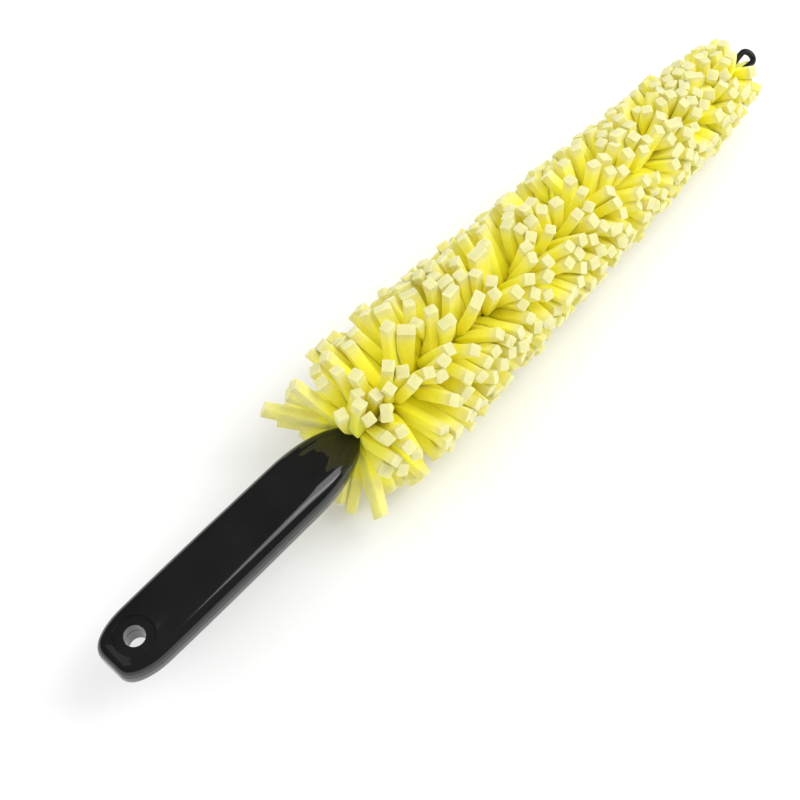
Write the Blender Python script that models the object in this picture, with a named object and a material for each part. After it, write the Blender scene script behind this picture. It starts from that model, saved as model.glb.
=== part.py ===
"""Wheel cleaning brush: foam strips twisted into a coated wire, on a two-part moulded handle.

The brush is modelled along its own axis: +X runs from the handle to the tip, x = 0 is the
handle's nose, +Z is the normal of the handle's upper face. An empty then lays the whole brush
down as it rests on a table, with the underside of its conical head flat on z = 0.
"""
import math

import bmesh
import bpy
from mathutils import Matrix, Vector

# Foam head
HEAD_RADIUS_AT_NOSE = 0.0344      # radius of the head level with the handle's nose
HEAD_TAPER = 0.050                # radius lost for each metre along the head
HEAD_CORE_START = 0.0008          # first foam, measured at the wire
HEAD_CORE_END = 0.2674            # last foam, measured at the wire
HALF_TURNS = 27                   # one foam turn is what half a turn of the wire grips
FOAM_SIDES = 16
FOAM_BORE = 0.0043                # across the bore's flats, halved: clears both legs of the wire
FOAM_GAP = 0.0004
BACK_SPLAY = 0.0170               # how far the first strips lean back over the nose
BACK_SPLAY_REACH = 0.052
FRONT_SPLAY = 0.0105              # how far the last strips lean forward around the tip loop
FRONT_SPLAY_REACH = 0.040
FRONT_SHORTENING = 0.0050         # radius lost by the strips that lean forward

# Wire
STEEL_RADIUS = 0.0008
COATING_BORE = 0.0011
COATING_RADIUS = 0.00150
TWIST_RADIUS = 0.00215            # from the brush axis to the centre of each leg
LOOP_ROLL = math.radians(20.0)    # the plane of the tip loop, about the brush axis
LOOP_END = 0.2875                 # outermost point of the tip loop
LOOP_HALF_WIDTH = 0.0034          # to the centre of the wire
TAIL_END_X = -0.0650              # where the tails turn outwards inside the handle
TAIL_BEND = 0.0022                # radius in which the tails turn
TAIL_HOOK = 0.0066                # coated length of each hook, from the brush axis
BARE_END = 0.0024                 # steel that stands out of the coating
WIRE_SIDES = 6
STEPS_PER_HALF_TURN = 3
STEPS_PER_LOOP = 8

# Handle
HANDLE_LENGTH = 0.1250
HANDLE_HALF_WIDTH = 0.0132
HANDLE_TOP = 0.0082
HANDLE_BOTTOM = 0.0068
MOUTH_RADIUS = 0.0042
NOSE_LENGTH = 0.0320
WIDEST_X = -0.0650
TAIL_SLIMMING = 0.05              # share of the section lost from the widest point to the end
END_SHARE = 0.40                  # share of the section left at the flat end
TAIL_ROUNDING = 0.0160            # in plan
TAIL_ROLL_OFF = 0.0045            # in thickness
SECTION_POWER = 3.6               # 2 is an ellipse, more is squarer
SECTION_POINTS = 32
WALL = 0.0020
SEAM_Z = 0.0021
SEAM_GAP = 0.0004
POCKETS = ((-0.0150, -0.0330), (-0.0380, -0.0580), (-0.0630, -0.0970))
CHANNEL_END_X = -0.0640
CHANNEL_CLEARANCE = 0.0004
PEG_RADIUS = 0.0013
PEG_CLEARANCE = 0.0004
PEG_HEIGHT = 0.0030
PEG_Y = 0.0078
HANG_HOLE_X = -0.1125
HANG_HOLE_RADIUS = 0.0040
HANG_LAND_RADIUS = 0.0078
HANG_LAND_TOP = 0.0072            # height of the flat land above the brush axis
HANG_LAND_BOTTOM = 0.0059         # depth of the one underneath, below it
BEYOND = 0.0200                   # how far the cutters pass the handle's faces

# Rest pose
PITCH = math.atan(HEAD_TAPER)


def clear_scene():
    for obj in list(bpy.data.objects):
        bpy.data.objects.remove(obj, do_unlink=True)


def make_material(name, colour, roughness, metallic=0.0):
    material = bpy.data.materials.new(name)
    material.use_nodes = True
    shader = material.node_tree.nodes["Principled BSDF"]
    shader.inputs["Base Color"].default_value = (*colour, 1.0)
    shader.inputs["Roughness"].default_value = roughness
    shader.inputs["Metallic"].default_value = metallic
    return material


def make_object(name, mesh_builder, material, parent):
    mesh = bpy.data.meshes.new(name)
    body = bmesh.new()
    mesh_builder(body)
    bmesh.ops.recalc_face_normals(body, faces=body.faces)
    body.to_mesh(mesh)
    body.free()
    obj = bpy.data.objects.new(name, mesh)
    bpy.context.collection.objects.link(obj)
    obj.parent = parent
    if material:
        mesh.materials.append(material)
    return obj


def make_cutter(name, mesh_builder, parent):
    cutter = make_object(name, mesh_builder, None, parent)
    cutter.hide_render = True
    cutter.display_type = "WIRE"
    return cutter


def add_boolean(obj, operation, cutter):
    modifier = obj.modifiers.new(cutter.name, "BOOLEAN")
    modifier.operation = operation
    modifier.solver = "EXACT"
    modifier.object = cutter


def skin_rings(body, rings, closed=False):
    """Join rings of points with quads; the ends are filled unless the rings form a closed tube."""
    loops = [[body.verts.new(point) for point in ring] for ring in rings]
    pairs = list(zip(loops, loops[1:]))
    if closed:
        pairs.append((loops[-1], loops[0]))
    for low, high in pairs:
        for i in range(len(low)):
            j = (i + 1) % len(low)
            body.faces.new((low[i], low[j], high[j], high[i]))
    if not closed:
        body.faces.new(loops[0])
        body.faces.new(loops[-1])


# ---------------------------------------------------------------- foam head

def splay(x):
    """Shift of a strip's outer end along the axis, for a strip clamped at x."""
    back = max(0.0, 1.0 - x / BACK_SPLAY_REACH)
    front = max(0.0, 1.0 - (HEAD_CORE_END - x) / FRONT_SPLAY_REACH)
    return FRONT_SPLAY * front ** 2 - BACK_SPLAY * back ** 2


def head_radius(x_core):
    """Distance from the axis to a flat of the head, for strips clamped at x_core."""
    front = max(0.0, 1.0 - (HEAD_CORE_END - x_core) / FRONT_SPLAY_REACH)
    x_rim = x_core + splay(x_core)
    return HEAD_RADIUS_AT_NOSE - HEAD_TAPER * x_rim - FRONT_SHORTENING * front ** 2


def build_foam_turn(index):
    step = (HEAD_CORE_END - HEAD_CORE_START) / HALF_TURNS
    x_low = HEAD_CORE_START + index * step + FOAM_GAP / 2
    x_high = x_low + step - FOAM_GAP
    profile = (
        (x_low, FOAM_BORE),
        (x_low + splay(x_low), head_radius(x_low)),
        (x_high + splay(x_high), head_radius(x_high)),
        (x_high, FOAM_BORE),
    )
    corner = 1.0 / math.cos(math.pi / FOAM_SIDES)

    def build(body):
        rings = []
        for side in range(FOAM_SIDES):
            # a flat, not a corner, faces straight down
            angle = 2.0 * math.pi * (side + 0.5) / FOAM_SIDES
            rings.append([
                (x, flat * corner * math.sin(angle), -flat * corner * math.cos(angle))
                for x, flat in profile
            ])
        skin_rings(body, rings, closed=True)

    return build


# ---------------------------------------------------------------- wire

def leg_point(x, side):
    """Centre of one leg of the twisted wire at x; side is +1 or -1."""
    share = (x - HEAD_CORE_START) / (HEAD_CORE_END - HEAD_CORE_START)
    angle = share * (HALF_TURNS * math.pi + LOOP_ROLL)
    return Vector((
        x,
        side * TWIST_RADIUS * math.cos(angle),
        side * TWIST_RADIUS * math.sin(angle),
    ))


def loop_point(x, offset):
    """A point of the tip loop, offset sideways from the brush axis in the loop's plane."""
    turn = HALF_TURNS * math.pi + LOOP_ROLL
    return Vector((x, offset * math.cos(turn), offset * math.sin(turn)))


def wire_centre_line(hook_end):
    """The folded wire from the end of one hooked tail, round the tip loop, to the other."""
    tail_y = TWIST_RADIUS
    mid_bend = 0.3 * TAIL_BEND
    leg = [
        (TAIL_END_X, hook_end, 0.0),
        (TAIL_END_X, tail_y + TAIL_BEND, 0.0),
        (TAIL_END_X + mid_bend, tail_y + mid_bend, 0.0),
        (TAIL_END_X + TAIL_BEND, tail_y, 0.0),
        (0.6 * TAIL_END_X, tail_y, 0.0),
        (0.2 * TAIL_END_X, tail_y, 0.0),
    ]
    steps = HALF_TURNS * STEPS_PER_HALF_TURN
    length = HEAD_CORE_END - HEAD_CORE_START
    along = [HEAD_CORE_START + length * i / steps for i in range(steps + 1)]
    out = [Vector(point) for point in leg] + [leg_point(x, 1.0) for x in along]
    back = [Vector((x, -y, z)) for x, y, z in leg] + [leg_point(x, -1.0) for x in along]
    centre = LOOP_END - COATING_RADIUS - LOOP_HALF_WIDTH
    bow = []
    for i in range(STEPS_PER_LOOP + 1):
        angle = math.pi * i / STEPS_PER_LOOP
        bow.append(loop_point(
            centre + LOOP_HALF_WIDTH * math.sin(angle), LOOP_HALF_WIDTH * math.cos(angle)))
    return out + bow + back[::-1]


def sweep(body, path, radii):
    """Sweep a disc, or a washer when two radii are given, along a path."""
    normal = Vector((0.0, 0.0, 1.0))
    tangents = []
    for i, point in enumerate(path):
        before = path[max(i - 1, 0)]
        after = path[min(i + 1, len(path) - 1)]
        tangents.append((after - before).normalized())
    shells = [[] for _ in radii]
    for i, (point, tangent) in enumerate(zip(path, tangents)):
        if i:
            normal = tangents[i - 1].rotation_difference(tangent) @ normal
        normal = (normal - tangent * normal.dot(tangent)).normalized()
        other = tangent.cross(normal)
        for shell, radius in zip(shells, radii):
            shell.append([
                point + radius * (
                    normal * math.cos(2.0 * math.pi * k / WIRE_SIDES)
                    + other * math.sin(2.0 * math.pi * k / WIRE_SIDES))
                for k in range(WIRE_SIDES)
            ])
    if len(radii) == 1:
        skin_rings(body, shells[0])
        return
    # a washer is one closed tube of rings: out along the outer wall, back along the bore
    outer, inner = shells
    skin_rings(body, outer + inner[::-1], closed=True)


def build_core_wire(body):
    sweep(body, wire_centre_line(TAIL_HOOK + BARE_END), [STEEL_RADIUS])


def build_wire_coating(body):
    sweep(body, wire_centre_line(TAIL_HOOK), [COATING_RADIUS, COATING_BORE])


# ---------------------------------------------------------------- handle

def rounded(share):
    """Rises from 0 to 1 as a quarter circle does."""
    return math.sqrt(max(0.0, 1.0 - (1.0 - min(share, 1.0)) ** 2))


def handle_size(x):
    """Half-width, top and bottom of the handle at x."""
    nose = rounded(-x / NOSE_LENGTH)
    slimming = 1.0 - TAIL_SLIMMING * (min(x - WIDEST_X, 0.0) / (HANDLE_LENGTH + WIDEST_X)) ** 2
    from_end = HANDLE_LENGTH + x
    plan = END_SHARE + (1.0 - END_SHARE) * rounded(from_end / TAIL_ROUNDING)
    roll_off = END_SHARE + (1.0 - END_SHARE) * rounded(from_end / TAIL_ROLL_OFF)
    sizes = []
    for full, ending in (
            (HANDLE_HALF_WIDTH, plan), (HANDLE_TOP, roll_off), (HANDLE_BOTTOM, roll_off)):
        swell = math.sqrt(MOUTH_RADIUS ** 2 + (full ** 2 - MOUTH_RADIUS ** 2) * nose ** 2)
        sizes.append(swell * slimming * ending)
    return sizes


def section(x, inset=0.0):
    """Outline of the handle at x: a squared ellipse with its own height above and below."""
    half_width, top, bottom = (size - inset for size in handle_size(x))
    ring = []
    for i in range(SECTION_POINTS):
        angle = 2.0 * math.pi * i / SECTION_POINTS
        height = top if math.sin(angle) >= 0.0 else bottom
        reach = (
            abs(math.cos(angle) / half_width) ** SECTION_POWER
            + abs(math.sin(angle) / height) ** SECTION_POWER
        ) ** (-1.0 / SECTION_POWER)
        ring.append((x, reach * math.cos(angle), reach * math.sin(angle)))
    return ring


def handle_stations():
    nose = [-NOSE_LENGTH * (1.0 - math.cos(math.radians(a))) for a in range(0, 91, 15)]
    shaft = [-0.0500, -0.0700, -0.0900]
    shares = (1.0, 0.7, 0.45, 0.26, 0.12, 0.03, 0.0)
    tail = [-HANDLE_LENGTH + TAIL_ROUNDING * share for share in shares]
    return nose + shaft + tail


def build_handle_form(body):
    skin_rings(body, [section(x) for x in handle_stations()])


def build_pockets(body):
    for front, back in POCKETS:
        steps = 4
        stations = [front + (back - front) * i / steps for i in range(steps + 1)]
        skin_rings(body, [section(x, WALL) for x in stations])


def add_block(body, low, high):
    centre = [(a + b) / 2 for a, b in zip(low, high)]
    size = [b - a for a, b in zip(low, high)]
    place = Matrix.Translation(centre) @ Matrix.Diagonal((*size, 1.0))
    bmesh.ops.create_cube(body, size=1.0, matrix=place)


def add_cylinder(body, x, y, z_low, z_high, radius, sides):
    bmesh.ops.create_cone(
        body, cap_ends=True, segments=sides, radius1=radius, radius2=radius,
        depth=z_high - z_low, matrix=Matrix.Translation((x, y, (z_low + z_high) / 2)))


def build_upper_space(body):
    low = (-HANDLE_LENGTH - BEYOND, -HANDLE_HALF_WIDTH - BEYOND, SEAM_Z - SEAM_GAP / 2)
    add_block(body, low, (BEYOND, HANDLE_HALF_WIDTH + BEYOND, BEYOND))


def build_lower_space(body):
    low = (-HANDLE_LENGTH - BEYOND, -HANDLE_HALF_WIDTH - BEYOND, -BEYOND)
    add_block(body, low, (BEYOND, HANDLE_HALF_WIDTH + BEYOND, SEAM_Z + SEAM_GAP / 2))


def build_channel(body):
    """The trough for both straight legs of the wire, open upwards to the seam."""
    reach = COATING_RADIUS + CHANNEL_CLEARANCE
    half_width = TWIST_RADIUS + reach
    add_block(body, (CHANNEL_END_X, -half_width, -reach), (BEYOND, half_width, BEYOND))


def peg_places():
    ribs = [(POCKETS[i][1] + POCKETS[i + 1][0]) / 2 for i in range(len(POCKETS) - 1)]
    return [(x, side * PEG_Y) for x in ribs for side in (-1.0, 1.0)]


def build_pegs(body):
    for x, y in peg_places():
        add_cylinder(body, x, y, SEAM_Z - 0.002, SEAM_Z + PEG_HEIGHT, PEG_RADIUS, 10)


def build_peg_sockets(body):
    for x, y in peg_places():
        radius = PEG_RADIUS + PEG_CLEARANCE
        add_cylinder(body, x, y, SEAM_Z - 0.001, SEAM_Z + PEG_HEIGHT + 0.0005, radius, 10)


def build_hang_hole(body):
    add_cylinder(body, HANG_HOLE_X, 0.0, -BEYOND, BEYOND, HANG_HOLE_RADIUS, 24)


def build_hang_lands(body):
    add_cylinder(body, HANG_HOLE_X, 0.0, HANG_LAND_TOP, BEYOND, HANG_LAND_RADIUS, 32)
    add_cylinder(body, HANG_HOLE_X, 0.0, -BEYOND, -HANG_LAND_BOTTOM, HANG_LAND_RADIUS, 32)


def make_handle(brush, plastic):
    shells = {
        "handle_upper_shell": ["lower_space", "pockets", "peg_sockets", "hang_lands", "hang_hole"],
        "handle_lower_shell": ["upper_space", "pockets", "channel", "hang_lands", "hang_hole"],
    }
    builders = {
        "lower_space": build_lower_space,
        "upper_space": build_upper_space,
        "pockets": build_pockets,
        "channel": build_channel,
        "peg_sockets": build_peg_sockets,
        "hang_lands": build_hang_lands,
        "hang_hole": build_hang_hole,
    }
    cutters = {name: make_cutter(name, build, brush) for name, build in builders.items()}
    for name, cuts in shells.items():
        shell = make_object(name, build_handle_form, plastic, brush)
        for cut in cuts:
            add_boolean(shell, "DIFFERENCE", cutters[cut])
        if name == "handle_lower_shell":
            add_boolean(shell, "UNION", make_cutter("pegs", build_pegs, brush))
        shell.data.shade_smooth()
        shell.data.set_sharp_from_angle(angle=math.radians(40.0))


def rest_matrix():
    """Lays the brush on z = 0 with its box centred on x = 0."""
    turn = Matrix.Rotation(PITCH, 4, "Y")
    tail = turn @ Vector((-HANDLE_LENGTH, 0.0, 0.0))
    tip = turn @ Vector((LOOP_END, 0.0, 0.0))
    height = HEAD_RADIUS_AT_NOSE * math.cos(PITCH)
    return Matrix.Translation((-(tail.x + tip.x) / 2, 0.0, height)) @ turn


def main():
    clear_scene()
    brush = bpy.data.objects.new("brush_axis", None)
    bpy.context.collection.objects.link(brush)
    brush.matrix_world = rest_matrix()

    plastic = make_material("handle_plastic", (0.012, 0.012, 0.013), 0.18)
    coating = make_material("wire_coating", (0.015, 0.015, 0.015), 0.35)
    steel = make_material("core_steel", (0.55, 0.55, 0.54), 0.35, 1.0)
    foam = make_material("foam", (0.86, 0.76, 0.17), 0.95)

    make_handle(brush, plastic)
    make_object("core_wire", build_core_wire, steel, brush).data.shade_smooth()
    make_object("wire_coating", build_wire_coating, coating, brush).data.shade_smooth()
    for index in range(HALF_TURNS):
        make_object(f"foam_turn_{index + 1:02d}", build_foam_turn(index), foam, brush)


main()
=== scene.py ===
"""Looks of the foam strip wheel brush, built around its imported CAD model.

Everything is worked out on the brush's own axis (x = 0 at the handle's nose, +X to the tip, in
millimetres) and then carried to the frame by BRUSH, the pose in which the brush lies on a table.
"""
import math

import bmesh
import bpy
import numpy as np
from mathutils import Matrix, Vector


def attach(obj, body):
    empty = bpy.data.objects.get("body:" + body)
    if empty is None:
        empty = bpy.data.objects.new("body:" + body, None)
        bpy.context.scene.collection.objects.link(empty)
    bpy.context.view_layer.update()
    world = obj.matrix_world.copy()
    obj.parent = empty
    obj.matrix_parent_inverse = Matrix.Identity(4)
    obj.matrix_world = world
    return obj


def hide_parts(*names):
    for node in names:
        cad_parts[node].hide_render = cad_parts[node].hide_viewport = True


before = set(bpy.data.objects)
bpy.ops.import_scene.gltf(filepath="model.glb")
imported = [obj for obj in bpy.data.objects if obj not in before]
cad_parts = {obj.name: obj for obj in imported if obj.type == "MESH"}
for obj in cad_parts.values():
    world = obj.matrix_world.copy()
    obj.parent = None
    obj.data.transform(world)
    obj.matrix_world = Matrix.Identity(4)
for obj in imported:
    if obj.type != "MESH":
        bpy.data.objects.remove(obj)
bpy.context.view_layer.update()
MM = 0.001

# Brush axis in the frame, as in the CAD model
HEAD_TAPER = 0.050
HEAD_RADIUS_AT_NOSE = 34.4
HEAD_START = 0.8
HEAD_END = 267.4
HANDLE_LENGTH = 125.0
LOOP_END = 287.5
PITCH = math.atan(HEAD_TAPER)
HALF_TURNS = 27
LOOP_ROLL = math.radians(20.0)

# Foam strips: number and section
STRIP_WIDTH = 4.6
STRIP_COUNT = 336
WIDTH_SPREAD = 0.08
THICKNESS_SPREAD = 0.06
WIDE_SHARE = 0.07                 # of the strips, cut this many times wider
WIDE_FACTOR = (1.4, 1.8)
WIDE_FROM = 6.0                   # none of them over the handle's nose
PINCH = 0.45                      # share of the width left where the wire grips a strip
FULL_WIDTH_RADIUS = 6.0           # from here outwards a strip has its full width
TWIST_SPREAD = 0.45               # radians that an arm turns about itself, towards its tip
CUT_SPREAD = 0.12                 # slant of the cut ends
SEED = 11

# Foam strips: places along the wire
CLAMP_FIRST = HEAD_START + 0.3
CLAMP_LAST = HEAD_END - 4.5
CLAMP_SPREAD = 0.25
CROWDING = 1.6                    # the strips are shifted towards the nose, most at this reach
CROWDING_REACH = 20.0
BUNDLE_SIZES = (2, 6)             # drawn from here, the last one excluded
LARGEST_BUNDLE = 4
BUNDLING = 0.74                   # how far the strips of one bundle are spread from each other

# Foam strips: directions of the arms. "Shared" is drawn once for a bundle, "own" for each arm.
TURN_SHARED = 0.14
TURN_OWN = 0.10
LEAN_SHARED = 3.0
LEAN_OWN = 2.8
BEND_SHARED = 0.08
BEND_OWN = 0.08
PARTING = math.radians(108.0)     # the foam is parted along this side
PARTING_PUSH = math.radians(7.5)
PARTING_WIDTH = math.radians(26.0)
PARTING_FROM = 50.0               # the push is full from here on
PARTING_FADE = 0.60               # share of the push that is lost towards the tip
SWEEP = math.radians(-70.0)       # how far the first strips are swept round the axis
SWEEP_REACH = 16.0
BACK_SPLAY = 16.0                 # how far the first strips lean back over the nose
BACK_REACH = 38.0
BACK_SHORTENING = 6.5
SIDEWAYS = math.radians(20.0)     # they lean back most to this side and its opposite
BACK_EVEN = 0.70
BACK_UNEVEN = 0.35
FRONT_SPLAY = 9.5                 # how far the last strips lean forward round the loop
FRONT_REACH = 34.0
FRONT_SHORTENING = 4.5
UNDERNEATH = math.radians(-70.0)  # they lean forward most on this side
FRONT_EVEN = 0.95
FRONT_UNEVEN = 0.15
LAST_FROM = 261.0                 # strips from here on run forward, close behind the loop
LAST_LEAN = 42.0
LAST_LENGTH = 24.0
LAST_TURN = 0.8                   # how far they are gathered towards that side

# Foam strips: lengths of the arms
OVERREACH = 1.07                  # over the head's radius: arms bend
LENGTH_SPREAD = 0.03
LEAN_STRETCH = 0.3                # power of a leaning arm's extra length
WORN_SIDE = (0.0, -0.94, -0.34)   # arms on this side are a little shorter
WEAR = 0.12

# Foam strips: how they settle
ROUNDS = 220
SEARCH_EVERY = 6                  # rounds between two searches for neighbours
LINKS = 9                         # points along an arm, from the root outwards
ROOT = 3.0                        # an arm's first point, from the place where it is clamped
ROOT_WIDTH = 0.3                  # least share of a strip's width that keeps others away
BEND_LENGTH = 34.0                # the bends are given for an arm this long
TIP_SWELL = 0.10                  # share by which that width grows towards the tip
FREE_FROM = 6.0                   # an arm gives way in full from this far past its root
HARD_PUSH = 0.38                  # share of an overlap taken away in one round
SOFT_PUSH = 0.02                  # the same for the elbow room
ELBOW_ROOM = 1.25                 # tips keep this many widths apart where they can
STIFFNESS = 0.30
SHARPEST_TURN = math.radians(24.0)    # between two links of an arm
HANDLE_REACH = 1.0                # behind this place the foam keeps off the handle
HANDLE_ROOM = 0.62                # widths that a centre line keeps off it
DEEPEST = 0.3                     # share of the handle's size: deeper points are moved no farther
NOSE_SWELL = (9.0, 4.0)           # the handle's gain in half-width and half-height
FLOOR_ROOM = 1.6                  # from the lowest centre lines to the head's outline

# Foam strips: their meshes
CORNER = 0.55                     # radius of a strip's long edges
CORNER_LIMIT = 0.45               # its largest share of a strip's half-width
SECTION_STEPS = 3                 # points in each rounded corner
STEPS_PER_LINK = 3
WIDENING = 0.8                    # power by which a strip widens from the wire outwards
SLANT_LIMIT = 0.8
SLANT_SHARES = (1.0, 0.65, 0.3)   # of a cut end's slant, for its last rings
CAP_SHARE = 0.93                  # the cap's size in its last ring
CAP_BULGE = 0.14
STRIP_SHARP_EDGE = math.radians(38.0)

# Foam strips: the painted light value that colours them: 0 at the wire, where their saturated
# yellow is painted shade, 1 at the tip's sides, where their pale yellow is painted light
CAP_PAINTED_LIGHT = 1.05                # value of a cut end, painted palest as the most lit face
NOSE_PAINTED_LIGHT = 0.92                      # least value of the foam over the handle's nose, whose exposed strips are painted paler as painted light
NOSE_PAINTED_LIGHT_TO = 6.0
NOSE_PAINTED_LIGHT_REACH = 12.0

# Wire
WIRE_RADIUS = 1.5
WIRE_SIDES = 16
TWIST_RADIUS = 2.15
LOOP_HALF_WIDTH = 3.4
TAIL_END_X = -65.0
TAIL_HOOK = 6.6
TAIL_BEND = 2.2
TAIL_BEND_POINTS = 6
TAIL_STATIONS = (-50.0, -35.0, -20.0, -8.0, -3.0)
STEPS_PER_HALF_TURN = 14
LOOP_POINTS = 25
TUBE_END = ((0.45, 0.9), (0.85, 0.5))     # rings of its rounded ends: size and reach, in radii

# Handle
HANDLE_HALF_WIDTH = 13.2
HANDLE_TOP = 8.2
HANDLE_BOTTOM = 6.8
MOUTH_RADIUS = 4.2
NOSE_LENGTH = 32.0
WIDEST_X = -65.0
TAIL_SLIMMING = 0.05
END_SHARE = 0.40
TAIL_ROUNDING = 16.0
TAIL_ROLL_OFF = 4.5
SECTION_POWER = 3.6
SECTION_POINTS = 96
NOSE_STEP = 4                     # degrees between sections round the nose
SHAFT_STEP = 3.0                  # millimetres between sections along the shaft
TAIL_STEP = 6                     # degrees between sections round the tail
WALL = 2.0
SEAM_Z = 2.1
SEAM_GAP = 0.4
EDGE_RADIUS = 0.22
POCKETS = ((-15.0, -33.0), (-38.0, -58.0), (-63.0, -97.0))
POCKET_STATIONS = 8
CHANNEL_END_X = -64.0
CHANNEL_CLEARANCE = 0.4
HANG_HOLE_X = -112.5
HANG_HOLE_RADIUS = 4.0
HANG_LAND_RADIUS = 7.8
HANG_LAND_TOP = 7.2
HANG_LAND_BOTTOM = 5.9
HANDLE_SHARP_EDGE = math.radians(40.0)

# Handle: its cutters run past its faces, as far as this
CHANNEL_FRONT_X = 10.0
CHANNEL_TOP = SEAM_Z + 1.0
POST_REACH = 20.0
POST_SIDES = 64
BLOCK_LOW = (-150.0, -30.0, -30.0)
BLOCK_HIGH = (30.0, 30.0, 30.0)

# Colours
FOAM_COLOURS_WITH_PAINTED_LIGHT = (                  # painted light value, colour: saturated low values are painted shade, pale high values painted light
    (0.30, (0.91, 0.855, 0.02, 1.0)),
    (0.78, (0.91, 0.865, 0.10, 1.0)),
    (0.89, (0.85, 0.81, 0.22, 1.0)),
    (1.00, (0.69, 0.665, 0.335, 1.0)),
)
BLACKS = ((0.008, 0.008, 0.008, 1.0), (0.016, 0.016, 0.016, 1.0))
STEEL_GREY = (0.55, 0.55, 0.54, 1.0)
FLOOR_WHITE = (0.92, 0.92, 0.92, 1.0)

# Stage, in the frame and in metres
FLOOR_HALF_SIZE = 3.0
FLOOR_Z = -0.0005
LIT_PLACE = (-0.05, 0.0, 0.03)
LIGHTS = (                        # name, place, size, power
    ("key", (-0.75, 0.40, 1.90), (1.5, 1.5), 2.8),
    ("side", (0.52, -0.42, 1.05), (0.62, 0.8), 5.5),
    ("side_core", (0.50, -0.58, 0.98), (0.05, 0.8), 0.9),
)
DAYLIGHT = 0.97

# Camera, on the brush axis and in millimetres
CAMERA_RIGHT = (0.662, -0.7495, 0.028)
CAMERA_UP = (0.6386, 0.583, 0.503)
CAMERA_BACK = (-0.393, -0.315, 0.864)
CAMERA_PLACE = (-163.4, -154.0, 414.8)
CAMERA_LENS = 54.0
CAMERA_SENSOR = 36.0

rng = np.random.default_rng(SEED)


def rest_matrix():
    """Pose of the brush on the table: the underside of its tapered head lies level."""
    turn = Matrix.Rotation(PITCH, 4, "Y")
    tail = turn @ Vector((-HANDLE_LENGTH, 0.0, 0.0))
    tip = turn @ Vector((LOOP_END, 0.0, 0.0))
    height = HEAD_RADIUS_AT_NOSE * math.cos(PITCH)
    shift = Matrix.Translation((-(tail.x + tip.x) / 2 * MM, 0.0, height * MM))
    return shift @ turn @ Matrix.Scale(MM, 4)


BRUSH = rest_matrix()


def to_frame(points):
    """Points on the brush axis, in millimetres, to the frame, in metres."""
    m = np.array(BRUSH)
    return np.asarray(points) @ m[:3, :3].T + m[:3, 3]


# ---------------------------------------------------------------- meshes

def skin(rings, around):
    """Faces of a closed body made of rings of points, one after the other."""
    faces = []
    for k in range(rings - 1):
        for i in range(around):
            j = (i + 1) % around
            faces.append((k * around + i, k * around + j,
                          (k + 1) * around + j, (k + 1) * around + i))
    faces.append(tuple(range(around - 1, -1, -1)))
    faces.append(tuple((rings - 1) * around + i for i in range(around)))
    return faces


def mesh_object(name, verts, faces, material):
    """A smooth-shaded object in the scene, with its faces pointing outwards."""
    mesh = bpy.data.meshes.new(name)
    mesh.from_pydata(np.asarray(verts).tolist(), [], faces)
    if material:
        mesh.materials.append(material)
    body = bmesh.new()
    body.from_mesh(mesh)
    bmesh.ops.recalc_face_normals(body, faces=body.faces)
    body.to_mesh(mesh)
    body.free()
    mesh.shade_smooth()
    obj = bpy.data.objects.new(name, mesh)
    bpy.context.scene.collection.objects.link(obj)
    return obj


# ---------------------------------------------------------------- foam: where the arms go

def head_radius(x):
    """Radius of the foam at x; the head narrows towards the tip."""
    return HEAD_RADIUS_AT_NOSE - HEAD_TAPER * x


def twist_angle(x):
    """Direction from one leg of the wire to the other, about the axis."""
    share = (x - HEAD_START) / (HEAD_END - HEAD_START)
    return share * (HALF_TURNS * math.pi + LOOP_ROLL)


def unit(v):
    """Vectors of length one."""
    return v / np.maximum(np.linalg.norm(v, axis=-1, keepdims=True), 1e-9)


def plan_strips():
    """Clamping place of every strip, and the bundle that it was cut in."""
    x = np.linspace(CLAMP_FIRST, CLAMP_LAST, STRIP_COUNT)
    x = x - CROWDING * x / CROWDING_REACH * np.exp(1.0 - x / CROWDING_REACH)
    x = np.sort(np.maximum(x + rng.normal(0.0, CLAMP_SPREAD, STRIP_COUNT), HEAD_START))
    sizes = np.minimum(rng.integers(*BUNDLE_SIZES, STRIP_COUNT), LARGEST_BUNDLE)
    bundle = np.repeat(np.arange(STRIP_COUNT), sizes)[:STRIP_COUNT]
    return x, bundle


def turned_from(angle, side):
    """Signed turn about the axis from a side to the angle, within half a circle."""
    return (angle - side + math.pi) % (2.0 * math.pi) - math.pi


def parted(angle, x):
    """Directions about the axis, combed away to both sides of the parting."""
    share = turned_from(angle, PARTING) / PARTING_WIDTH
    push = PARTING_PUSH * np.clip(x / PARTING_FROM, 0.0, 1.0)
    push = push * (1.0 - PARTING_FADE * x / HEAD_END)
    return angle + push * share * np.exp(0.5 - 0.5 * share ** 2)


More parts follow.
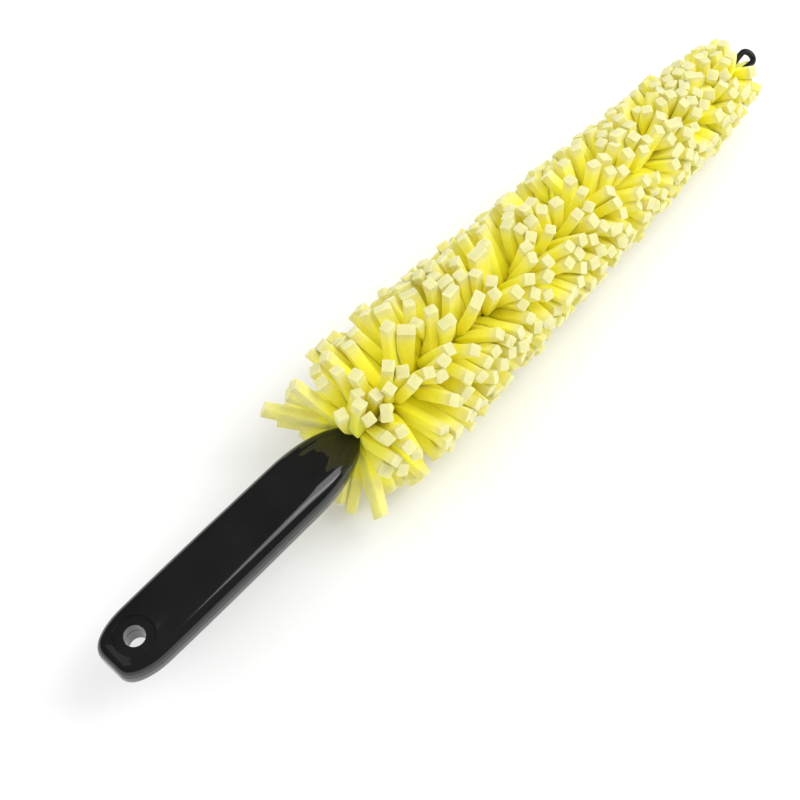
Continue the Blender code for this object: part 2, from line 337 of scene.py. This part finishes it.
def plan_arms(x, bundle):
    """Both arms of each strip: first direction, bend and length."""
    n = len(x)
    arms = []
    middle = np.array([x[bundle == b].mean() for b in bundle])
    for side in (0.0, math.pi):
        shared = rng.normal(0.0, 1.0, (n, 5))[bundle]
        angle = twist_angle(middle + BUNDLING * (x - middle)) + math.pi / 2 + side
        angle = angle + SWEEP * np.clip(1.0 - x / SWEEP_REACH, 0.0, 1.0) ** 2
        angle = parted(angle + TURN_SHARED * shared[:, 0] + rng.normal(0.0, TURN_OWN, n), x)
        back = np.clip(1.0 - x / BACK_REACH, 0.0, 1.0) ** 2
        front = np.clip(1.0 - (HEAD_END - x) / FRONT_REACH, 0.0, 1.0) ** 2
        reach = head_radius(x) - FRONT_SHORTENING * front
        reach = reach - BACK_SHORTENING * np.clip(1.0 - x / SWEEP_REACH, 0.0, 1.0)
        back = back * (BACK_EVEN + BACK_UNEVEN * np.cos(2.0 * (angle - SIDEWAYS)))
        front = front * (FRONT_EVEN + FRONT_UNEVEN * np.cos(angle - UNDERNEATH))
        off = turned_from(angle, UNDERNEATH)
        last = (x > LAST_FROM) & (np.abs(off) < math.pi / 2)
        angle = np.where(last, angle - LAST_TURN * off, angle)
        lean = np.where(last, LAST_LEAN, FRONT_SPLAY * front) - BACK_SPLAY * back
        lean = (lean + LEAN_SHARED * shared[:, 1] + rng.normal(0.0, LEAN_OWN, n)) / reach
        aim = unit(np.stack([lean, np.cos(angle), np.sin(angle)], axis=1))
        bend = BEND_SHARED * shared[:, 2:] + BEND_OWN * rng.normal(0.0, 1.0, (n, 3))
        length = reach * OVERREACH * rng.normal(1.0, LENGTH_SPREAD, n)
        length = length * (1.0 + lean ** 2) ** LEAN_STRETCH
        length = length * (1.0 - WEAR * np.clip(aim @ np.array(WORN_SIDE), 0.0, 1.0))
        arms.append((aim, bend, np.where(last, LAST_LENGTH, length)))
    return arms


# ---------------------------------------------------------------- foam: how the arms settle

def near_pairs(points, owner, reach):
    """Index pairs of points of different arms that are closer than reach."""
    order = np.argsort(points[:, 0], kind="stable")
    p, who = points[order], owner[order]
    first, second = [], []
    for step in range(1, len(p)):
        gap = p[step:, 0] - p[:-step, 0]
        if not (gap < reach).any():
            break
        close = gap < reach
        close &= who[step:] != who[:-step]
        i = np.nonzero(close)[0]
        d = np.linalg.norm(p[i + step] - p[i], axis=1)
        i = i[d < reach]
        first.append(order[i])
        second.append(order[i + step])
    return np.concatenate(first), np.concatenate(second)


def handle_half_size(x):
    """Half-width and half-height of the handle at x, for keeping the foam off it."""
    share = np.clip(-x / NOSE_LENGTH, 0.0, 1.0)
    swell = np.sqrt(1.0 - (1.0 - share) ** 2)
    return MOUTH_RADIUS + NOSE_SWELL[0] * swell, MOUTH_RADIUS + NOSE_SWELL[1] * swell


def keep_off_handle(p):
    """Lifts points out of the handle."""
    wide, high = handle_half_size(p[..., 0])
    room = HANDLE_ROOM * STRIP_WIDTH
    q = np.sqrt((p[..., 1] / (wide + room)) ** 2 + (p[..., 2] / (high + room)) ** 2)
    inside = (p[..., 0] < HANDLE_REACH) & (q < 1.0)
    push = np.where(inside, 1.0 / np.maximum(q, DEEPEST), 1.0)
    p[..., 1] *= push
    p[..., 2] *= push


def keep_off_floor(p):
    """Flattens the underside where the brush lies on the table."""
    lowest = -(head_radius(p[..., 0]) - FLOOR_ROOM)
    p[..., 2] = np.maximum(p[..., 2], lowest)


def turned_towards(ahead, wanted):
    """The wanted directions, held within SHARPEST_TURN of the ones ahead."""
    along = np.sum(ahead * wanted, axis=1, keepdims=True)
    across = unit(wanted - ahead * along)
    held = ahead * math.cos(SHARPEST_TURN) + across * math.sin(SHARPEST_TURN)
    return np.where(along < math.cos(SHARPEST_TURN), held, wanted)


def pushed_apart(flat, pairs, want, room):
    """Moves of all points, by which pairs that are too close give each other space."""
    i, j = pairs
    d = flat[j] - flat[i]
    gap = np.linalg.norm(d, axis=1)
    over = HARD_PUSH * np.clip(want - gap, 0.0, None) + SOFT_PUSH * np.clip(room - gap, 0.0, None)
    shove = d / np.maximum(gap, 1e-6)[:, None] * over[:, None]
    move = np.zeros_like(flat)
    np.add.at(move, i, -shove)
    np.add.at(move, j, shove)
    return move


def settle(root, aim, bend, length, size):
    """Relaxes all arms at once: straight foam that resists bending and can't share its space."""
    n = len(root)
    step = (length - ROOT)[:, None] / (LINKS - 1)
    along = ROOT + step * np.arange(LINKS)[None, :]
    share = np.clip(along / length[:, None], 0.0, 1.0)
    p = root[:, None, :] + aim[:, None, :] * along[..., None]
    p = p + bend[:, None, :] * (along[..., None] ** 2) / BEND_LENGTH
    owner = np.repeat(np.arange(n), LINKS)
    width = STRIP_WIDTH * np.clip(along / FULL_WIDTH_RADIUS, ROOT_WIDTH, 1.0)
    width = (width * (1.0 + TIP_SWELL * share) * size[:, None]).ravel()
    heft = np.clip((along - ROOT) / FREE_FROM, 0.0, 1.0)
    free = (share ** 2).ravel()
    for turn in range(ROUNDS):
        flat = p.reshape(-1, 3)
        if turn % SEARCH_EVERY == 0:
            i, j = near_pairs(flat, owner, ELBOW_ROOM * STRIP_WIDTH)
            want = 0.5 * (width[i] + width[j])
            room = want * (1.0 + (ELBOW_ROOM - 1.0) * np.minimum(free[i], free[j]))
        flat += pushed_apart(flat, (i, j), want, room) * heft.ravel()[:, None]
        p = flat.reshape(n, LINKS, 3)
        rest = 0.5 * (p[:, :-2] + p[:, 2:])
        rest = rest - bend[:, None, :] * (step ** 2)[..., None] / BEND_LENGTH
        p[:, 1:-1] += STIFFNESS * (rest - p[:, 1:-1]) * heft[:, 1:-1, None]
        p[:, -1] += STIFFNESS * (2.0 * p[:, -2] - p[:, -3] - p[:, -1])
        keep_off_handle(p)
        keep_off_floor(p)
        ahead = aim
        for k in range(1, LINKS):
            ahead = turned_towards(ahead, unit(p[:, k] - p[:, k - 1]))
            p[:, k] = p[:, k - 1] + ahead * step
    return p


# ---------------------------------------------------------------- foam: the strips' meshes

def section_square(half_u, half_v):
    """Rounded rectangle, as (u, v) pairs."""
    ring = []
    r_u = min(CORNER, CORNER_LIMIT * half_u)
    r_v = min(CORNER, CORNER_LIMIT * half_v)
    for quarter, (su, sv) in enumerate(((1, 1), (-1, 1), (-1, -1), (1, -1))):
        for k in range(SECTION_STEPS):
            a = math.pi / 2 * (quarter + k / (SECTION_STEPS - 1))
            ring.append((su * (half_u - r_u) + r_u * math.cos(a),
                         sv * (half_v - r_v) + r_v * math.sin(a)))
    return ring


def smooth_path(points, per_link):
    """Catmull-Rom curve through the points."""
    p = np.vstack([2 * points[0] - points[1], points, 2 * points[-1] - points[-2]])
    t = np.linspace(0.0, 1.0, per_link, endpoint=False)[:, None]
    out = []
    for k in range(1, len(p) - 2):
        a, b, c, d = p[k - 1], p[k], p[k + 1], p[k + 2]
        out.append(0.5 * (2 * b + (c - a) * t + (2 * a - 5 * b + 4 * c - d) * t ** 2
                          + (3 * b - a - 3 * c + d) * t ** 3))
    out.append(points[-1][None, :])
    return np.vstack(out)


def carried_frames(path, first_u, start=0):
    """Tangents and cross-section axes, carried both ways from the start without twist."""
    tangent = unit(np.gradient(path, axis=0))
    u = np.empty_like(path)
    u[start] = unit(first_u - tangent[start] * np.dot(first_u, tangent[start]))
    for k in range(start + 1, len(path)):
        u[k] = unit(u[k - 1] - tangent[k] * np.dot(u[k - 1], tangent[k]))
    for k in range(start - 1, -1, -1):
        u[k] = unit(u[k + 1] - tangent[k] * np.dot(u[k + 1], tangent[k]))
    return tangent, u, np.cross(tangent, u)


def cut_end(rings, middle, outward, cut):
    """Slants an arm's last rings, given from the tip inwards, and returns its cap's outline."""
    slant = (rings[0] - middle) @ np.cross(outward, cut)
    slant = np.clip(slant, -SLANT_LIMIT, SLANT_LIMIT)
    for ring, share in zip(rings, SLANT_SHARES):
        ring += outward * (slant * share)[:, None]
    return middle + (rings[0] - middle) * CAP_SHARE + outward * CAP_BULGE


def strip_mesh(core, arm_a, arm_b, wide, thick, twists, cuts):
    """Vertices, faces and painted light values of one strip, from the tip of arm a to the tip of
    arm b.
    """
    path = smooth_path(np.vstack([arm_a[::-1], core[None], arm_b]), STEPS_PER_LINK)
    middle = len(arm_a) * STEPS_PER_LINK
    tangent, u, v = carried_frames(path, np.array([1.0, 0.0, 0.0]), middle)
    r = np.linalg.norm(path - core, axis=1)
    in_arm_a = np.arange(len(path)) < middle
    share = r / np.where(in_arm_a, r[0], r[-1])
    turn = share * np.where(in_arm_a, twists[0], twists[1])
    grow = PINCH + (1.0 - PINCH) * np.clip(r / FULL_WIDTH_RADIUS, 0.0, 1.0) ** WIDENING
    rings = []
    for k in range(len(path)):
        uu = u[k] * math.cos(turn[k]) + v[k] * math.sin(turn[k])
        vv = np.cross(tangent[k], uu)
        half = STRIP_WIDTH / 2 * grow[k]
        ring = np.array(section_square(half * wide, half * thick))
        rings.append(path[k] + ring @ np.array([uu, vv]))
    first = cut_end(rings[:3], path[0], -tangent[0], cuts[0])
    last = cut_end(rings[:-4:-1], path[-1], tangent[-1], cuts[1])
    rings = [first] + rings + [last]
    # Painted light: the exposed strips over the handle's nose are coloured paler.
    painted_nose_light = NOSE_PAINTED_LIGHT * np.clip((NOSE_PAINTED_LIGHT_TO - path[:, 0]) / NOSE_PAINTED_LIGHT_REACH, 0.0, 1.0)
    # Painted light: the colour value grows from the wire to the tips, and the cut ends get the
    # palest colour.
    values = np.concatenate([[CAP_PAINTED_LIGHT], np.maximum(share, painted_nose_light), [CAP_PAINTED_LIGHT]])
    n = len(first)
    return np.vstack(rings), skin(len(rings), n), np.repeat(values, n)


def group_object(name, strips, material):
    """All strips of one half-turn as one piece, kept above the table."""
    verts, faces, painted_light_value = [], [], []
    base = 0
    for v, f, t in strips:
        v = to_frame(v)
        v[:, 2] = np.maximum(v[:, 2], 0.0)
        verts.append(v)
        faces += [tuple(base + k for k in face) for face in f]
        painted_light_value.append(t)
        base += len(v)
    obj = mesh_object(name, np.vstack(verts), faces, material)
    # The painted light value of every point, which the foam's colour ramp turns into painted
    # shade and light.
    attribute = obj.data.attributes.new("painted_light_value", "FLOAT", "POINT")
    attribute.data.foreach_set("value", np.concatenate(painted_light_value).astype(np.float32))
    obj.data.set_sharp_from_angle(angle=STRIP_SHARP_EDGE)
    return obj


def make_foam(material):
    """All strips, planned, settled and grouped by the half-turn that clamps them."""
    x, bundle = plan_strips()
    arms = plan_arms(x, bundle)
    n = len(x)
    root = np.stack([x, np.zeros_like(x), np.zeros_like(x)], axis=1)
    wide = rng.normal(1.0, WIDTH_SPREAD, n)
    widened = (rng.random(n) < WIDE_SHARE) & (x > WIDE_FROM)
    wide = np.where(widened, rng.uniform(*WIDE_FACTOR, n), wide)
    thick = rng.normal(1.0, THICKNESS_SPREAD, n)
    aim, bend, length = (np.concatenate(both) for both in zip(*arms))
    size = np.concatenate([wide, wide]) ** 0.5
    p = settle(np.concatenate([root, root]), aim, bend, length, size)
    twist = rng.normal(0.0, TWIST_SPREAD, (2, n))
    cut = rng.normal(0.0, CUT_SPREAD, (2, n, 3))
    step = (HEAD_END - HEAD_START) / HALF_TURNS
    turn = np.clip(((x - HEAD_START) / step).astype(int), 0, HALF_TURNS - 1)
    for k in range(HALF_TURNS):
        strips = [
            strip_mesh(root[i], p[i], p[n + i], wide[i], thick[i], twist[:, i], cut[:, i])
            for i in np.nonzero(turn == k)[0]
        ]
        piece = group_object(f"foam_strips_{k + 1:02d}", strips, material)
        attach(piece, "root")
        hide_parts(f"foam_turn_{k + 1:02d}")


# ---------------------------------------------------------------- wire

def leg_path(side):
    """One leg of the twisted pair, from the nose to the loop."""
    x = np.linspace(HEAD_START, HEAD_END, HALF_TURNS * STEPS_PER_HALF_TURN + 1)
    a = twist_angle(x)
    r = side * TWIST_RADIUS
    return np.stack([x, r * np.cos(a), r * np.sin(a)], axis=1)


def tail_path(side):
    """A straight leg in the handle's channel, with its hooked end behind the last rib."""
    path = [(TAIL_END_X, side * TAIL_HOOK, 0.0)]
    for t in np.linspace(0.0, math.pi / 2, TAIL_BEND_POINTS):
        x = TAIL_END_X + TAIL_BEND * (1 - math.cos(t))
        path.append((x, side * (TWIST_RADIUS + TAIL_BEND * (1 - math.sin(t))), 0.0))
    path += [(x, side * TWIST_RADIUS, 0.0) for x in TAIL_STATIONS]
    return np.array(path)


def loop_path():
    """The half circle that joins both legs at the tip."""
    turn = HALF_TURNS * math.pi + LOOP_ROLL
    centre = LOOP_END - WIRE_RADIUS - LOOP_HALF_WIDTH
    t = np.linspace(0.0, math.pi, LOOP_POINTS)
    x = centre + LOOP_HALF_WIDTH * np.sin(t)
    offset = LOOP_HALF_WIDTH * np.cos(t)
    return np.stack([x, offset * math.cos(turn), offset * math.sin(turn)], axis=1)


def tube_object(name, path, radius, sides, material):
    """A round tube along a path, with its ends rounded off."""
    tangent, u, v = carried_frames(path, np.array([0.0, 0.0, 1.0]))
    rings = []
    for share, out in TUBE_END:
        rings.append((path[0] - tangent[0] * out * radius, 0, share))
    rings += [(path[k], k, 1.0) for k in range(len(path))]
    for share, out in reversed(TUBE_END):
        rings.append((path[-1] + tangent[-1] * out * radius, len(path) - 1, share))
    around = np.linspace(0.0, 2 * math.pi, sides, endpoint=False)
    verts = []
    for place, k, share in rings:
        for a in around:
            verts.append(place + radius * share * (u[k] * math.cos(a) + v[k] * math.sin(a)))
    return mesh_object(name, to_frame(np.array(verts)), skin(len(rings), sides), material)


def make_wire(material):
    """The coated wire: both legs in one run, from tail to tail round the loop."""
    one, two = leg_path(1.0), leg_path(-1.0)
    path = np.vstack([tail_path(1.0), one, loop_path(), two[::-1], tail_path(-1.0)[::-1]])
    wire = tube_object("coated_wire", path, WIRE_RADIUS, WIRE_SIDES, material)
    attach(wire, "root")
    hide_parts("wire_coating")


# ---------------------------------------------------------------- handle

def rounded(share):
    """Height of a quarter circle: from 0 at its edge to 1 at share 1 and beyond."""
    return math.sqrt(max(0.0, 1.0 - (1.0 - min(share, 1.0)) ** 2))


def handle_size(x):
    """Half-width, top and bottom of the handle at x, as in the CAD model."""
    nose = rounded(-x / NOSE_LENGTH)
    slimming = 1.0 - TAIL_SLIMMING * (min(x - WIDEST_X, 0.0) / (HANDLE_LENGTH + WIDEST_X)) ** 2
    from_end = HANDLE_LENGTH + x
    plan = END_SHARE + (1.0 - END_SHARE) * rounded(from_end / TAIL_ROUNDING)
    roll_off = END_SHARE + (1.0 - END_SHARE) * rounded(from_end / TAIL_ROLL_OFF)
    sizes = []
    for full, ending in (
            (HANDLE_HALF_WIDTH, plan), (HANDLE_TOP, roll_off), (HANDLE_BOTTOM, roll_off)):
        swell = math.sqrt(MOUTH_RADIUS ** 2 + (full ** 2 - MOUTH_RADIUS ** 2) * nose ** 2)
        sizes.append(swell * slimming * ending)
    return sizes


def section(x, inset=0.0):
    """Outline of the handle at x, or of its inside when inset by a wall."""
    half_width, top, bottom = (size - inset for size in handle_size(x))
    ring = []
    for i in range(SECTION_POINTS):
        angle = 2.0 * math.pi * i / SECTION_POINTS
        height = top if math.sin(angle) >= 0.0 else bottom
        reach = (
            abs(math.cos(angle) / half_width) ** SECTION_POWER
            + abs(math.sin(angle) / height) ** SECTION_POWER
        ) ** (-1.0 / SECTION_POWER)
        ring.append((x, reach * math.cos(angle), reach * math.sin(angle)))
    return ring


def loft(name, rings, material=None):
    """A closed body through rings of points on the brush axis."""
    verts = [point for ring in rings for point in ring]
    return mesh_object(name, to_frame(verts), skin(len(rings), len(rings[0])), material)


def handle_stations():
    """Places of the handle's sections: close together where its ends are rounded."""
    nose = [-NOSE_LENGTH * (1.0 - math.cos(math.radians(a)))
            for a in range(0, 91, NOSE_STEP)]
    shaft = list(np.arange(
        -NOSE_LENGTH - SHAFT_STEP, -HANDLE_LENGTH + TAIL_ROUNDING, -SHAFT_STEP))
    tail = [-HANDLE_LENGTH + TAIL_ROUNDING * (1.0 - math.sin(math.radians(a)))
            for a in range(0, 91, TAIL_STEP)]
    return nose + shaft + tail


def block(name, low, high):
    """A box between two corners."""
    (x0, y0, z0), (x1, y1, z1) = low, high
    ring = ((y0, z0), (y1, z0), (y1, z1), (y0, z1))
    return loft(name, [[(x, y, z) for y, z in ring] for x in (x0, x1)])


def post(name, x, z_low, z_high, radius):
    """An upright cylinder."""
    around = [2 * math.pi * i / POST_SIDES for i in range(POST_SIDES)]
    return loft(name, [[(x + radius * math.cos(a), radius * math.sin(a), z) for a in around]
                       for z in (z_low, z_high)])


def cut_away(obj, cutters):
    """Boolean differences, applied, so that the cutters can be removed."""
    for cutter in cutters:
        modifier = obj.modifiers.new(cutter.name, "BOOLEAN")
        modifier.operation = "DIFFERENCE"
        modifier.solver = "EXACT"
        modifier.object = cutter
    bpy.context.view_layer.update()
    evaluated = obj.evaluated_get(bpy.context.evaluated_depsgraph_get())
    mesh = bpy.data.meshes.new_from_object(evaluated)
    obj.modifiers.clear()
    obj.data = mesh


def make_handle(material):
    """Two half shells with a seam between them, ribs inside and the hole for hanging."""
    pockets = [
        loft("pocket", [section(x, WALL) for x in np.linspace(front, back, POCKET_STATIONS)])
        for front, back in POCKETS
    ]
    hole = post("hole", HANG_HOLE_X, -POST_REACH, POST_REACH, HANG_HOLE_RADIUS)
    lands = [
        post("land", HANG_HOLE_X, HANG_LAND_TOP, POST_REACH, HANG_LAND_RADIUS),
        post("land", HANG_HOLE_X, -POST_REACH, -HANG_LAND_BOTTOM, HANG_LAND_RADIUS),
    ]
    reach = WIRE_RADIUS + CHANNEL_CLEARANCE
    half = TWIST_RADIUS + reach
    channel = block(
        "channel", (CHANNEL_END_X, -half, -reach), (CHANNEL_FRONT_X, half, CHANNEL_TOP))
    above = block("above", (*BLOCK_LOW[:2], SEAM_Z - SEAM_GAP / 2), BLOCK_HIGH)
    below = block("below", BLOCK_LOW, (*BLOCK_HIGH[:2], SEAM_Z + SEAM_GAP / 2))
    for name, cutters in (
            ("handle_upper", [below, lands[0], hole] + pockets),
            ("handle_lower", [above, lands[1], hole, channel] + pockets)):
        shell = loft(name, [section(x) for x in handle_stations()], material)
        cut_away(shell, cutters)
        bevel = shell.modifiers.new("seam_edge", "BEVEL")
        bevel.width = EDGE_RADIUS * MM
        bevel.segments = 3
        bevel.limit_method = "ANGLE"
        bevel.angle_limit = HANDLE_SHARP_EDGE
        shell.data.shade_smooth()
        shell.data.set_sharp_from_angle(angle=HANDLE_SHARP_EDGE)
        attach(shell, "root")
        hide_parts(name + "_shell")
    for cutter in pockets + lands + [hole, channel, above, below]:
        bpy.data.objects.remove(cutter, do_unlink=True)


# ---------------------------------------------------------------- materials

def new_material(name):
    """A node material, its tree and its shader."""
    material = bpy.data.materials.new(name)
    material.use_nodes = True
    return material, material.node_tree, material.node_tree.nodes["Principled BSDF"]


def foam_material():
    """Soft yellow foam, coloured by the painted light value: saturated yellow as painted shade
    near the wire, pale yellow as painted light at the tips; with fine pores and a faint mottle.
    """
    material, tree, shader = new_material("yellow_foam")
    add = tree.nodes.new
    link = tree.links.new
    painted_light_value = add("ShaderNodeAttribute")
    painted_light_value.attribute_name = "painted_light_value"
    # Painted shade and light: deep saturated yellow by the wire, pale yellow at the tips and cut
    # ends.
    ramp = add("ShaderNodeValToRGB")
    stops = ramp.color_ramp.elements
    stops[0].position, stops[0].color = FOAM_COLOURS_WITH_PAINTED_LIGHT[0]
    stops[1].position, stops[1].color = FOAM_COLOURS_WITH_PAINTED_LIGHT[-1]
    for place, colour in FOAM_COLOURS_WITH_PAINTED_LIGHT[1:-1]:
        stops.new(place).color = colour
    link(painted_light_value.outputs["Fac"], ramp.inputs["Fac"])
    where = add("ShaderNodeTexCoord")
    mottle = add("ShaderNodeTexNoise")
    mottle.inputs["Scale"].default_value = 220.0
    mottle.inputs["Detail"].default_value = 3.0
    link(where.outputs["Object"], mottle.inputs["Vector"])
    shade = add("ShaderNodeMapRange")
    shade.inputs["To Min"].default_value = 0.90
    shade.inputs["To Max"].default_value = 1.06
    link(mottle.outputs["Fac"], shade.inputs["Value"])
    pores = add("ShaderNodeTexVoronoi")
    pores.inputs["Scale"].default_value = 2400.0
    link(where.outputs["Object"], pores.inputs["Vector"])
    # Painted shade: the pits of the pores are darkened.
    pore_shade = add("ShaderNodeMapRange")
    pore_shade.inputs["From Max"].default_value = 0.45
    pore_shade.inputs["To Min"].default_value = 0.88
    pore_shade.inputs["To Max"].default_value = 1.05
    link(pores.outputs["Distance"], pore_shade.inputs["Value"])
    both = add("ShaderNodeMath")
    both.operation = "MULTIPLY"
    link(shade.outputs["Result"], both.inputs[0])
    link(pore_shade.outputs["Result"], both.inputs[1])
    tone = add("ShaderNodeMix")
    tone.data_type = "RGBA"
    tone.blend_type = "MULTIPLY"
    tone.inputs["Factor"].default_value = 1.0
    link(ramp.outputs["Color"], tone.inputs["A"])
    link(both.outputs["Value"], tone.inputs["B"])
    link(tone.outputs["Result"], shader.inputs["Base Color"])
    bump = add("ShaderNodeBump")
    bump.inputs["Strength"].default_value = 0.5
    bump.inputs["Distance"].default_value = 0.0003
    link(pores.outputs["Distance"], bump.inputs["Height"])
    link(bump.outputs["Normal"], shader.inputs["Normal"])
    shader.inputs["Roughness"].default_value = 0.95
    shader.inputs["Specular IOR Level"].default_value = 0.15
    shader.inputs["Sheen Weight"].default_value = 0.15
    shader.inputs["Sheen Roughness"].default_value = 0.6
    shader.inputs["Subsurface Weight"].default_value = 0.9
    shader.inputs["Subsurface Radius"].default_value = (1.0, 0.9, 0.2)
    shader.inputs["Subsurface Scale"].default_value = 0.003
    return material


def black_plastic_material(name, roughness, grain_scale, grain_depth):
    """Black plastic with a fine grain; its gloss varies a little with the grain."""
    material, tree, shader = new_material(name)
    add = tree.nodes.new
    link = tree.links.new
    where = add("ShaderNodeTexCoord")
    noise = add("ShaderNodeTexNoise")
    noise.inputs["Scale"].default_value = grain_scale
    noise.inputs["Detail"].default_value = 4.0
    link(where.outputs["Object"], noise.inputs["Vector"])
    tint = add("ShaderNodeValToRGB")
    tint.color_ramp.elements[0].color, tint.color_ramp.elements[1].color = BLACKS
    link(noise.outputs["Fac"], tint.inputs["Fac"])
    link(tint.outputs["Color"], shader.inputs["Base Color"])
    gloss = add("ShaderNodeMapRange")
    gloss.inputs["To Min"].default_value = roughness * 0.8
    gloss.inputs["To Max"].default_value = roughness * 1.25
    link(noise.outputs["Fac"], gloss.inputs["Value"])
    link(gloss.outputs["Result"], shader.inputs["Roughness"])
    bump = add("ShaderNodeBump")
    bump.inputs["Strength"].default_value = 0.2
    bump.inputs["Distance"].default_value = grain_depth
    link(noise.outputs["Fac"], bump.inputs["Height"])
    link(bump.outputs["Normal"], shader.inputs["Normal"])
    return material


def steel_material():
    """Bare steel for the core of the wire, where it shows."""
    material, tree, shader = new_material("drawn_steel")
    noise = tree.nodes.new("ShaderNodeTexNoise")
    noise.inputs["Scale"].default_value = 400.0
    gloss = tree.nodes.new("ShaderNodeMapRange")
    gloss.inputs["To Min"].default_value = 0.25
    gloss.inputs["To Max"].default_value = 0.50
    tree.links.new(noise.outputs["Fac"], gloss.inputs["Value"])
    tree.links.new(gloss.outputs["Result"], shader.inputs["Roughness"])
    shader.inputs["Base Color"].default_value = STEEL_GREY
    shader.inputs["Metallic"].default_value = 1.0
    return material


# ---------------------------------------------------------------- stage, light and camera

def make_floor():
    """A white table top, just under the brush."""
    mesh = bpy.data.meshes.new("floor")
    s = FLOOR_HALF_SIZE
    mesh.from_pydata([(-s, -s, 0), (s, -s, 0), (s, s, 0), (-s, s, 0)], [], [(0, 1, 2, 3)])
    floor = bpy.data.objects.new("floor", mesh)
    bpy.context.scene.collection.objects.link(floor)
    floor.location.z = FLOOR_Z
    material, _, shader = new_material("floor_white")
    shader.inputs["Base Color"].default_value = FLOOR_WHITE
    shader.inputs["Roughness"].default_value = 0.9
    mesh.materials.append(material)


def make_light(name, location, size, power):
    """A soft rectangular light, turned to the brush."""
    light = bpy.data.lights.new(name, "AREA")
    light.shape = "RECTANGLE"
    light.size, light.size_y = size
    light.energy = power
    obj = bpy.data.objects.new(name, light)
    obj.location = location
    direction = Vector(LIT_PLACE) - Vector(location)
    obj.rotation_euler = direction.to_track_quat("-Z", "Y").to_euler()
    bpy.context.scene.collection.objects.link(obj)


def make_camera():
    """Above the handle's near side, looking along the brush towards its tip."""
    turn = Matrix.Rotation(PITCH, 3, "Y")
    axes = [turn @ Vector(axis) for axis in (CAMERA_RIGHT, CAMERA_UP, CAMERA_BACK)]
    camera = bpy.data.objects.new("camera", bpy.data.cameras.new("camera"))
    place = Matrix.Translation(BRUSH @ Vector(CAMERA_PLACE))
    camera.matrix_world = place @ Matrix(axes).transposed().to_4x4()
    camera.data.lens = CAMERA_LENS
    camera.data.sensor_width = CAMERA_SENSOR
    camera.data.clip_start = 0.01
    bpy.context.scene.collection.objects.link(camera)
    bpy.context.scene.camera = camera


def make_world():
    """Even white daylight, which glossy surfaces don't mirror."""
    world = bpy.data.worlds.new("studio")
    world.use_nodes = True
    background = world.node_tree.nodes["Background"]
    background.inputs["Color"].default_value = (1.0, 1.0, 1.0, 1.0)
    background.inputs["Strength"].default_value = DAYLIGHT
    bpy.context.scene.world = world
    world.cycles_visibility.glossy = False
    bpy.context.scene.view_settings.view_transform = "Standard"
    bpy.context.scene.cycles.diffuse_bounces = 12


def main():
    """Stage and camera first, then the brush from the inside outwards."""
    make_camera()
    make_world()
    make_floor()
    for name, location, size, power in LIGHTS:
        make_light(name, location, size, power)
    foam = foam_material()
    plastic = black_plastic_material(
        "gloss_black", roughness=0.08, grain_scale=60.0, grain_depth=0.0001)
    coating = black_plastic_material(
        "coated_wire", roughness=0.35, grain_scale=300.0, grain_depth=0.0002)
    steel = steel_material()
    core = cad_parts["core_wire"].data
    core.materials.clear()
    core.materials.append(steel)
    make_handle(plastic)
    make_wire(coating)
    make_foam(foam)


main()
